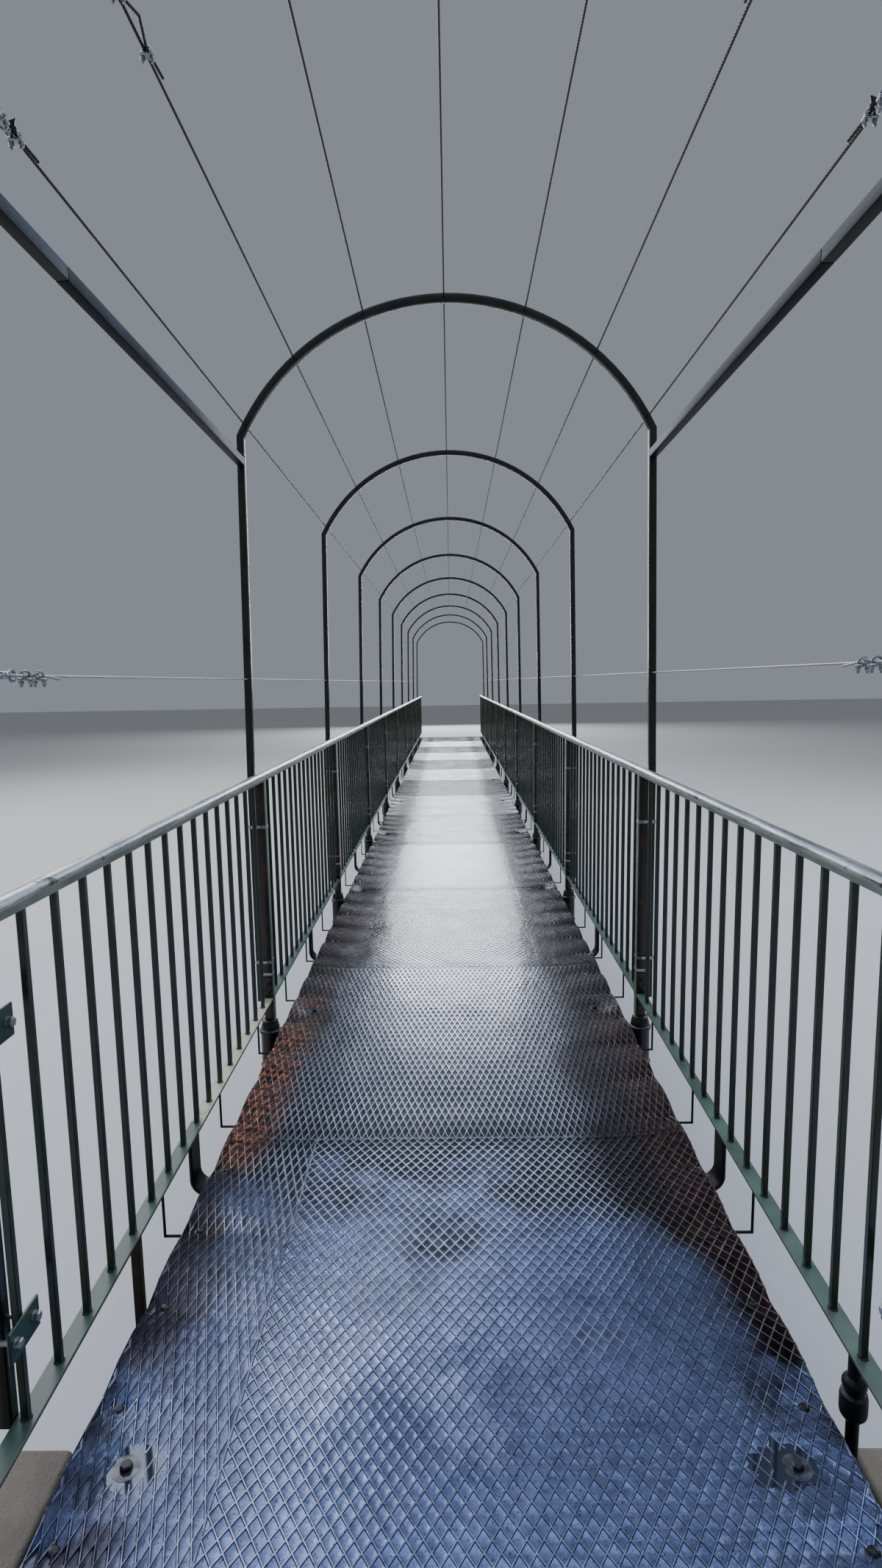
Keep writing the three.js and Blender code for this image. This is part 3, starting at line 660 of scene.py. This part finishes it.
def tread_sheet(name, x0, x1, row, ribs):
    """One sheet of raised-rib plate: a diamond grid with each cell pressed in below its ribs.
    Nearer rows have flat-topped ribs with a sloping foot, the nearest a fillet as well."""
    y0 = DECK_START + (row - 1) * PLATE_LEN
    y1 = y0 + PLATE_LEN - PLATE_GAP
    middle = Vector(((x0 + x1) / 2, (y0 + y1) / 2, 0))
    bm = bmesh.new()
    cells = int((x1 - x0) / ribs[0] + (y1 - y0) / ribs[1]) + 4
    bmesh.ops.create_grid(bm, x_segments=cells, y_segments=cells, size=cells / math.sqrt(8))
    bmesh.ops.rotate(bm, verts=bm.verts, cent=(0, 0, 0), matrix=Matrix.Rotation(math.pi / 4, 3, "Z"))
    bmesh.ops.scale(bm, vec=(ribs[0], ribs[1], 1), verts=bm.verts)
    bmesh.ops.translate(bm, vec=middle, verts=bm.verts)
    for point, outward in (((x0, 0, 0), (-1, 0, 0)), ((x1, 0, 0), (1, 0, 0)), ((0, y0, 0), (0, -1, 0)),
                           ((0, y1, 0), (0, 1, 0))):
        bmesh.ops.bisect_plane(bm, geom=bm.verts[:] + bm.edges[:] + bm.faces[:], dist=1e-6, plane_co=point,
                               plane_no=outward, clear_outer=True)
    cell = ribs[0] * ribs[1] / 2
    pans = [face for face in bm.faces if face.calc_area() > 0.14 * cell]
    steps = [(RIB_HALF, -RIB_HEIGHT, CROWN)]
    if row <= LAST_SHARP_ROW:
        steps = [(RIB_HALF * 0.42, 0, CROWN), (RIB_HALF * 0.58, -RIB_HEIGHT, FOOT)]
    if row <= LAST_FILLET_ROW:
        steps.append((FILLET, -0.0002, PAN))
    for thickness, depth, finish in steps:
        made = bmesh.ops.inset_individual(bm, faces=pans, thickness=thickness, depth=depth, use_even_offset=True)
        coat(made["faces"], finish)
    coat(pans, PAN)
    if row <= LAST_SHARP_ROW:
        bmesh.ops.poke(bm, faces=pans, offset=PAN_CROWN, center_mode="MEAN")
    for vert in bm.verts:
        vert.co.z += sheet_top(vert.co.x, vert.co.y)
    rim = [edge for edge in bm.edges if edge.is_boundary]
    for drop, shrink in ((SHEET_T, 1.0), (0.0, 0.96)):
        made = bmesh.ops.extrude_edge_only(bm, edges=rim)["geom"]
        rim = [item for item in made if isinstance(item, bmesh.types.BMEdge) and item.is_boundary]
        for vert in {vert for edge in rim for vert in edge.verts}:
            vert.co.z -= drop
            if shrink < 1:
                vert.co.x = middle.x + (vert.co.x - middle.x) * shrink
                vert.co.y = middle.y + (vert.co.y - middle.y) * shrink
                vert.co.z = DECK_TOP - PLATE_T + 0.0005
    bmesh.ops.edgeloop_fill(bm, edges=rim)
    bmesh.ops.recalc_face_normals(bm, faces=bm.faces[:])
    keep(bm, name + "_ribbed", TREAD_FINISHES, [name], smooth=28)


def deck_sheets():
    for row in range(1, PLATE_COUNT + 1):
        seam = SIDE_STRIPS.get(row, 0)
        ribs = COARSE_RIBS if row % 2 else FINE_RIBS
        left = seam + PLATE_GAP if seam < 0 else -DECK_HALF
        right = seam if seam > 0 else DECK_HALF
        tread_sheet(f"deck_plate_{row:02d}", left, right, row, ribs)
        if seam:
            low, high = (-DECK_HALF, seam) if seam < 0 else (seam + PLATE_GAP, DECK_HALF)
            tread_sheet(f"deck_strip_{row:02d}", low, high, row, FINE_RIBS)


def deck_bolts():
    """Low domed heads along both edges of the deck, and big washers where it is held down."""
    bm = bmesh.new()
    count = int((DECK_END - EDGE_BOLT_Y) / EDGE_BOLT_PITCH)
    anchors = int((DECK_END - ANCHOR_Y) / ANCHOR_PITCH)
    for side in (-1, 1):
        for i in range(-2, count + 1):
            y = EDGE_BOLT_Y + i * EDGE_BOLT_PITCH
            x = side * EDGE_BOLT_X
            turned(bm, BOLT_PROFILE, (x, y, sheet_top(x, y) - RIB_HEIGHT), steps=12)
        for i in range(anchors + 1):
            y = ANCHOR_Y + i * ANCHOR_PITCH
            place = Vector((side * ANCHOR_X, y, sheet_top(side * ANCHOR_X, y) - 0.0004))
            washer(bm, place, (0, 0, 1), 0.0275, WASHER_T, 1, sides=28)
            hex_head(bm, place + Vector((0, 0, WASHER_T)), (0, 0, 1), 0.02, 0.008)
    keep(bm, "deck_bolts", [DECK_BOLT, WET_WASHER], smooth=35)


def puddles():
    """Rainwater held between the ribs in the dips round the first pair of anchor bolts."""
    bm = bmesh.new()
    for side in (-1, 1):
        x = side * (ANCHOR_X - 0.02)
        level = sheet_top(side * ANCHOR_X, ANCHOR_Y) + 0.0021
        verts = bmesh.ops.create_circle(bm, cap_ends=True, segments=48, radius=1)["verts"]
        for vert in verts:
            wobble = 1 + 0.7 * noise.noise(Vector((vert.co.x * 3, vert.co.y * 3, side * 2.2)))
            vert.co = Vector((x + vert.co.x * 0.062 * wobble, ANCHOR_Y + vert.co.y * 0.05 * wobble, level))
    keep(bm, "puddles", [WATER])


# Railings
POST_FINISHES = [POST_PAINT, SLEEVE_IRON, BOLT_STEEL, ZINC, POST_SIDE_SHEEN, BRACKET_PAINT]
SLEEVE, BOLT, BAND, POST_SIDE, BRACKET = range(1, 6)


def picket_places(start, end):
    """Where along the bridge a section's pickets and its posts stand."""
    pickets = [-BAR_PITCH, 0.0]
    grid = HOOP_Y + [RAIL_END]
    for y, after in zip(grid, grid[1:]):
        gaps = round((after - y) / BAR_PITCH)
        pickets += [y + (after - y) * i / gaps for i in range(1, gaps)]
    whole = [y for y in pickets if start + 1.5 * BAR < y < end - 1.5 * BAR]
    return sorted(whole + [start + BAR / 2, end - BAR / 2]), [y for y in HOOP_Y[1:] if start < y < end]


def picket(bm, side, y, low, high):
    half = BAR / 2
    x = side * RAIL_X
    verts = box(bm, (x - half, y - half, low), (x + half, y + half, high))
    soften(bm, upright_edges(verts), 0.0016, 1)
    rod(bm, Matrix.Translation((x, y, low + 0.0025)), *PICKET_FOOT, 8)


def railing_section(side, index, start, end):
    label = f"railing_{SIDE_NAME[side]}_{index}"
    pickets, posts = picket_places(start, end)
    low = DECK_TOP + BOTTOM_RAIL_TOP
    high = DECK_TOP + TOP_FLAT_TOP - TOP_FLAT_T
    bm = bmesh.new()
    for y in pickets:
        picket(bm, side, y, low - 0.001, high + 0.001)
    keep(bm, label + "_pickets", [PICKET_PAINT], [label])

    bm = bmesh.new()
    half = BOTTOM_RAIL_W / 2
    x = side * RAIL_X
    soft_box(bm, (x - half, start, low - FLAT_T), (x + half, end, low), 0.0012)
    coat([face for face in bm.faces if face.normal.z > 0.9], 1)
    soft_box(bm, (x - half, start, high), (x + half, end, high + TOP_FLAT_T), 0.0016, 2)
    keep(bm, label + "_flats", [RAIL_PAINT, RAIL_TOP_PAINT, TOP_FLAT_PAINT])

    bm = bmesh.new()
    for y in posts:
        post_and_sleeve(bm, side, y)
        before = max(leg for leg in HOOP_Y if leg < y - 0.1)
        hook = before + BRACKET_BACK * (y - before)
        gooseneck(bm, side, hook)
        for i in range(STAY_COUNT):
            place = EDGE_BOLT_Y + STAY_PITCH * (i + 1)
            if before + 0.1 < place < y - 0.1 and abs(place - hook) > 0.06:
                stay(bm, side, place)
    if index == 1:
        near_prop(bm, side)
    keep(bm, label + "_posts", POST_FINISHES, smooth=35)


def post_and_sleeve(bm, side, y):
    """Square post standing in a domed, ringed pipe sleeve, with its bolt plate above the bottom rail."""
    turned(bm, SLEEVE_PROFILE, (side * SLEEVE_X, y, DECK_TOP), finish=SLEEVE)
    half = POST_W / 2
    x = side * RAIL_X
    top = DECK_TOP + TOP_FLAT_TOP - TOP_FLAT_T + 0.001
    post = box(bm, (x - half, y - half, DECK_TOP + 0.045), (x + half, y + half, top))
    # Painted reflection: the post's inner side, toward the deck, is lighter
    coat([face for face in faces_of(post) if face.normal.x * side < -0.9], POST_SIDE)
    soften(bm, edges_of(post), 0.003, 2)
    bolt_plate(bm, x, y - half, DECK_TOP + 0.205)
    for height in BAND_HEIGHTS:
        hose_clamp(bm, side, y, DECK_TOP + height)


def bolt_plate(bm, x, y, z):
    """Dark plate with two domed bolts on the near face of a post, under a narrow zinc band."""
    soft_box(bm, (x - 0.016, y - 0.005, z - 0.038), (x + 0.016, y + 0.001, z + 0.038), 0.0015, BOLT)
    band = POST_W / 2 + 0.0012
    soft_box(bm, (x - band, y - 0.0012, z + 0.046), (x + band, y + POST_W + 0.0012, z + 0.06), 0.003, BAND)
    for rise in (-0.019, 0.019):
        flat = Matrix.Translation((x, y - 0.005, z + rise)) @ Matrix.Diagonal((1, 0.6, 1, 1))
        dome = bmesh.ops.create_uvsphere(bm, u_segments=14, v_segments=7, radius=0.0105, matrix=flat)["verts"]
        coat(faces_of(dome), BOLT)


def hose_clamp(bm, side, y, z):
    """Worm-drive band round the post and the leg of the hoop, with its screw housing toward the deck."""
    half = POST_W / 2 + BAND_T
    low, high = sorted((side * (RAIL_X - half), side * (HOOP_X + TUBE / 2 + BAND_T)))
    verts = box(bm, (low, y - half, z - 0.006), (high, y + half, z + 0.006), BAND)
    soften(bm, upright_edges(verts), 0.0035, 2)
    rod(bm, standing((side * (RAIL_X + 0.012), y - half - 0.0052, z), (1, 0, 0)), 0.0055, 0.0055, 0.026, 10, BAND)


def gooseneck(bm, side, y):
    """Bent flat bracket from under the bottom rail in to the underside of the girder flange."""
    centre_z = DECK_TOP + BRACKET_Z
    path = [(side * (BRACKET_X + BRACKET_BEND), y, DECK_TOP + RAIL_UNDERSIDE)]
    path += [(side * (BRACKET_X + BRACKET_BEND * c), y, centre_z + BRACKET_BEND * s)
             for c, s in arc(0, -math.pi / 2, 10)]
    path.append((side * (BRACKET_X - 0.04), y, centre_z - BRACKET_BEND))
    run_bar(bm, square_section(0.011, 0.074, 0.0025), path, (1, 0, 0), BRACKET)


def stay(bm, side, y):
    """Thin bent rod from under the bottom rail to the edge of the deck."""
    x = side * (RAIL_X + 0.012)
    foot = DECK_TOP - PLATE_T - 0.007
    path = [(x, y, DECK_TOP + RAIL_UNDERSIDE), (x, y, foot), (side * (DECK_HALF - 0.004), y, foot)]
    run_bar(bm, round_section(0.004, 8), path, (0, 1, 0), BRACKET)


def near_prop(bm, side):
    """Square bar under the left railing; turned prop with a barrel and a ring under the right one."""
    half = 0.011
    if side < 0:
        soft_box(bm, (-SLEEVE_X - half, LEFT_PROP_Y - half, DECK_TOP + STUB_TOP),
                 (-SLEEVE_X + half, LEFT_PROP_Y + half, DECK_TOP + RAIL_UNDERSIDE), 0.0015)
    else:
        turned(bm, PROP_PROFILE, (SLEEVE_X, RIGHT_PROP_Y, DECK_TOP), steps=24, finish=BRACKET)


def railings():
    for side in (-1, 1):
        start = RAIL_START
        for index in range(1, 6):
            end = RAIL_END if index == 5 else HOOP_Y[2 * index] + SECTION_JOINT
            railing_section(side, index, start, end)
            start = end + PLATE_GAP


def handrail(side):
    """Half-round bar on the top flat of the railing."""
    bm = bmesh.new()
    base = DECK_TOP + TOP_FLAT_TOP + 0.0002
    half = side * HANDRAIL_W / 2
    section = [(half, 0.0), (half, -HANDRAIL_EDGE)]
    section += [(half * c, -HANDRAIL_EDGE - (HANDRAIL_H - HANDRAIL_EDGE) * s) for c, s in arc(0, math.pi, 14)[1:-1]]
    section += [(-half, -HANDRAIL_EDGE), (-half, 0.0)]
    start, end = RAIL_START - 0.01, RAIL_END + 0.01
    steps = 19
    path = [(side * RAIL_X, start + (end - start) * i / steps, base) for i in range(steps + 1)]
    run_bar(bm, section, path, (1, 0, 0))
    label = f"handrail_{SIDE_NAME[side]}"
    keep(bm, label + "_bar", [HANDRAIL_STEEL], [label], smooth=40)


# Hoops and wires: which of their finishes the zinc fittings and the clamp plates take
FITTING, CLAMP = 1, 2


def lean_at(z):
    """How far the first hoop leans toward the span at a height."""
    return math.tan(FIRST_HOOP_LEAN) * max(0, z - DECK_TOP - TOP_FLAT_TOP)


def hoop_path(leg_bottom):
    ends = [(-HOOP_X, leg_bottom), (-HOOP_X, TOP_FLAT_TOP)]
    crown = [(ARC_R * s, ARC_CENTRE_Z + ARC_R * c) for c, s in arc(-ARC_HALF, 2 * ARC_HALF, ARC_STEPS)]
    path = ends + crown + [(-x, z) for x, z in reversed(ends)]
    return [(x, 0, z + DECK_TOP) for x, z in path]


def hoop(index, y):
    bm = bmesh.new()
    first = index == 1
    run_bar(bm, square_section(TUBE, TUBE, 0.003), hoop_path(FIRST_LEG_BOTTOM if first else LEG_BOTTOM), (1, 0, 0))
    for vert in bm.verts:
        vert.co.y += y + (lean_at(vert.co.z) if first else 0)
    if first:
        for side in (-1, 1):
            for height in CLAMP_HEIGHTS:
                leg_clamp(bm, side, DECK_TOP + height)
    label = f"hoop_{index:02d}"
    keep(bm, label + "_tube", [HOOP_PAINT, ZINC, CLAMP_PAINT], [label], smooth=30)


def leg_clamp(bm, side, z):
    """Two bolted plates that grip a picket and the leg of the first hoop."""
    inner = RAIL_X - BAR / 2 - 0.0003
    outer = HOOP_X + TUBE / 2
    for x0, x1 in ((inner - 0.006, inner), (outer - 0.0005, outer + 0.006)):
        low, high = sorted((side * x0, side * x1))
        soft_box(bm, (low, -0.048, z - 0.03), (high, 0.048, z + 0.03), 0.0015, CLAMP)
    for y in (-0.03, 0.03):
        middle = (side * (inner + outer) / 2, y, z)
        rod(bm, standing(middle, (1, 0, 0)), 0.005, 0.005, outer - inner + 0.024, 12, FITTING)
        washer(bm, (side * (inner - 0.006), y, z), (-side, 0, 0), 0.0105, 0.0018, FITTING)
        hex_head(bm, (side * (inner - 0.0078), y, z), (-side, 0, 0), 0.017, 0.007, FITTING)
        hex_head(bm, (side * (outer + 0.006), y, z), (side, 0, 0), 0.017, 0.008, FITTING)


def spring_beam(side):
    bm = bmesh.new()
    z = DECK_TOP + SPRING_Z - BEAM_DROP
    y0 = TUBE / 2 + lean_at(z) + 0.0003
    y1 = FIRST_BAY - TUBE / 2 - 0.0003
    for low, high in ((y0, BEAM_JOINT_Y - 0.0006), (BEAM_JOINT_Y + 0.0006, y1)):
        soft_box(bm, (side * SPRING_X - BEAM / 2, low, z - BEAM), (side * SPRING_X + BEAM / 2, high, z), 0.0028,
                 segments=2)
    # The side toward the deck takes the painted slate sky sheen
    coat([face for face in bm.faces if face.normal.x * side < -0.5], 1)
    label = f"spring_beam_{SIDE_NAME[side]}"
    keep(bm, label + "_tube", [SHADED_BEAM_PAINT, BEAM_SIDE_SHEEN], [label], smooth=30)


# Wires
def wire_places():
    """Each wire's name, with its X and Z."""
    places = []
    for i in range(-3, 4):
        a = i * WIRE_STEP
        label = f"wire_{SIDE_NAME[1 if i > 0 else -1]}_{abs(i)}" if i else "wire_crown"
        places.append((label, ARC_R * math.sin(a), DECK_TOP + ARC_CENTRE_Z + ARC_R * math.cos(a)))
    share = (LOW_WIRE_Z - TOP_FLAT_TOP) / (SPRING_Z - TOP_FLAT_TOP)
    for side in (-1, 1):
        x = side * (HOOP_X + (SPRING_X - HOOP_X) * share)
        places.append((f"wire_{SIDE_NAME[side]}_low", x, DECK_TOP + LOW_WIRE_Z))
    return places


def straight(bm, radius, sides, x, y0, y1, z, finish=0):
    """A round bar along the bridge."""
    run_bar(bm, round_section(radius, sides), [(x, y0, z), (x, y1, z)], (1, 0, 0), finish)


def wire(label, x, z):
    """Taut strand from its loop and turnbuckle at the first hoop to the stop at the last."""
    bm = bmesh.new()
    start = lean_at(z)
    far = HOOP_Y[-1] + TUBE / 2 + 0.0005
    washer(bm, (x, far, z), (0, 1, 0), 0.009, 0.002, FITTING)
    hex_head(bm, (x, far + 0.002, z), (0, 1, 0), 0.013, 0.01, FITTING)
    near = start - TUBE / 2 - 0.001
    hex_head(bm, (x, near, z), (0, -1, 0), 0.015, 0.009, FITTING)
    straight(bm, SCREW_R, 10, x, near - 0.012, start + 0.05, z, FITTING)
    eye = turnbuckle(bm, x, start + 0.03, z)
    doubled_end(bm, x, z, eye, CLIP_PLACES.get(label, USUAL_CLIPS), 1 if x < 0 else -1)
    straight(bm, WIRE_R, 8, x, eye + 0.04, far + 0.012, z)
    low = label.endswith("low")
    keep(bm, label + "_strand", [STRAND if low else DARK_STRAND, ZINC], [label], smooth=40)


def turnbuckle(bm, x, y, z):
    """Open-bodied tensioner between two screws, ending in an eye; returns where the eye's middle is."""
    for side in (-1, 1):
        straight(bm, 0.0038, 10, x + side * 0.009, y + 0.012, y + 0.108, z, FITTING)
    for foot in (y, y + 0.1):
        soft_box(bm, (x - 0.0125, foot, z - 0.0075), (x + 0.0125, foot + 0.02, z + 0.0075), 0.003, FITTING, 2)
    straight(bm, SCREW_R, 10, x, y - 0.01, y + 0.045, z, FITTING)
    straight(bm, SCREW_R, 10, x, y + 0.075, y + 0.14, z, FITTING)
    eye = y + 0.15
    ring(bm, (x, eye, z), (1, 0, 0), 0.01, 0.0033, FITTING)
    return eye


def ring(bm, centre, axis, radius, thickness, finish):
    """A closed round ring about an axis."""
    axis = Vector(axis)
    out = axis.orthogonal().normalized()
    verts = [bm.verts.new(Vector(centre) + out * (radius + c) + axis * s) for c, s in round_section(thickness, 6)]
    edges = [bm.edges.new((verts[i - 1], verts[i])) for i in range(6)]
    bmesh.ops.spin(bm, geom=verts + edges, cent=centre, axis=axis, angle=math.tau, steps=18, use_merge=True)
    close_spin(bm, verts, finish)


def doubled_end(bm, x, z, eye, clips, toward):
    """The strand's end led round the eye and back along itself, held by U-bolt clips."""
    gap = 2.1 * WIRE_R
    loop = [(x, eye + 0.045, z)]
    loop += [(x + toward * (0.5 * gap - EYE_R * s), eye + EYE_R * c, z)
             for c, s in arc(math.radians(40), math.radians(280), 12)]
    first, last = clips
    loop += [(x + toward * gap, first - 0.015, z), (x + toward * gap, first + 0.015, z)]
    loop += [(x + toward * (gap + 0.012), (first + last) / 2 - 0.01, z + 0.004), (x + toward * gap, last - 0.015, z),
             (x + toward * gap, last + 0.015, z), (x + toward * (gap + 0.006), last + 0.06, z - 0.006)]
    run_bar(bm, round_section(WIRE_R, 8), loop, (0, 0, 1))
    for y in clips:
        wire_clip(bm, x + toward * gap / 2, y, z)


def wire_clip(bm, x, y, z):
    """U-bolt clip: a saddle under the two strands and a bent rod with a nut on each leg."""
    soft_box(bm, (x - 0.0135, y - 0.008, z - 0.0095), (x + 0.0135, y + 0.008, z - 0.0035), 0.0018, FITTING)
    legs = [(x - CLIP_HALF, y, z - 0.021), (x - CLIP_HALF, y, z)]
    legs += [(x - CLIP_HALF * c, y, z + 0.001 + 0.0085 * s) for c, s in arc(0, math.pi, 6)]
    legs += [(x + CLIP_HALF, y, z), (x + CLIP_HALF, y, z - 0.021)]
    run_bar(bm, round_section(0.0026, 6), legs, (0, 1, 0), FITTING)
    for side in (-1, 1):
        hex_head(bm, (x + side * CLIP_HALF, y, z - 0.0095), (0, 0, -1), 0.009, 0.0055, FITTING)


# Concrete and steelwork under the deck
def softened_copy(node, finish, size):
    """A merged copy of a solid with its hard edges rounded."""
    bm = bmesh.new()
    bm.from_mesh(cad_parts[node].data)
    bmesh.ops.remove_doubles(bm, verts=bm.verts[:], dist=1e-5)
    bmesh.ops.dissolve_limit(bm, angle_limit=math.radians(2), verts=bm.verts[:], edges=bm.edges[:],
                             use_dissolve_boundaries=False)
    hard = [edge for edge in bm.edges if edge.is_manifold and edge.calc_face_angle() > math.radians(30)]
    soften(bm, hard, size, 2)
    keep(bm, node + "_finished", [finish], [node], smooth=35)


# Stage
def plain_stage():
    bm = bmesh.new()
    bmesh.ops.create_grid(bm, x_segments=1, y_segments=1, size=90)
    mesh = bpy.data.meshes.new("floor")
    bm.to_mesh(mesh)
    bm.free()
    mesh.materials.append(cover(new_finish("pale_floor")[0], {"Base Color": colour("#c9c8c4"), "Roughness": 0.85}))
    floor = bpy.data.objects.new("floor", mesh)
    scene.collection.objects.link(floor)


def area_light(name, place, aim, size, power, tint):
    data = bpy.data.lights.new(name, "AREA")
    data.shape = "RECTANGLE"
    data.size, data.size_y = size
    data.energy = power
    data.color = colour(tint)[:3]
    light = bpy.data.objects.new(name, data)
    facing = (Vector(aim) - Vector(place)).to_track_quat("-Z", "Y").to_matrix().to_4x4()
    light.matrix_world = Matrix.Translation(place) @ facing
    scene.collection.objects.link(light)


def studio_light():
    world = bpy.data.worlds.new("studio")
    world.use_nodes = True
    tree = world.node_tree
    tree.nodes.clear()
    back = add_node(tree, "Background", {"Color": colour("#d6deea"), "Strength": 0.36})
    add_node(tree, "OutputWorld", {"Surface": back})
    scene.world = world
    area_light("key", (-11, 14, 14), (0, 5, 1), (14, 14), 2400, "#f6f2ee")
    area_light("overhead", (-1.5, 1, 13), (0, 1, 1), (16, 22), 1750, "#c3d6ff")
    area_light("right_side", (12, 9, 11), (0, 3, 1), (10, 10), 1000, "#e6ecf6")
    area_light("low_sky", (0, 24, 13), (0, 1, 1.2), (12, 12), 430, "#c9d8fb")
    area_light("far_glow", (0, 46, 11), (0, 6, 1.2), (8, 17), 4000, "#f6f8ff")


deck_sheets()
deck_bolts()
puddles()
railings()
for rail_side in (-1, 1):
    handrail(rail_side)
    spring_beam(rail_side)
for number, hoop_y in enumerate(HOOP_Y, 1):
    hoop(number, hoop_y)
for wire_place in wire_places():
    wire(*wire_place)
for block in ("abutment_near", "abutment_far"):
    softened_copy(block, CONCRETE, 0.012)
softened_copy("deck_frame", GIRDER_PAINT, 0.0015)
plain_stage()
studio_light()
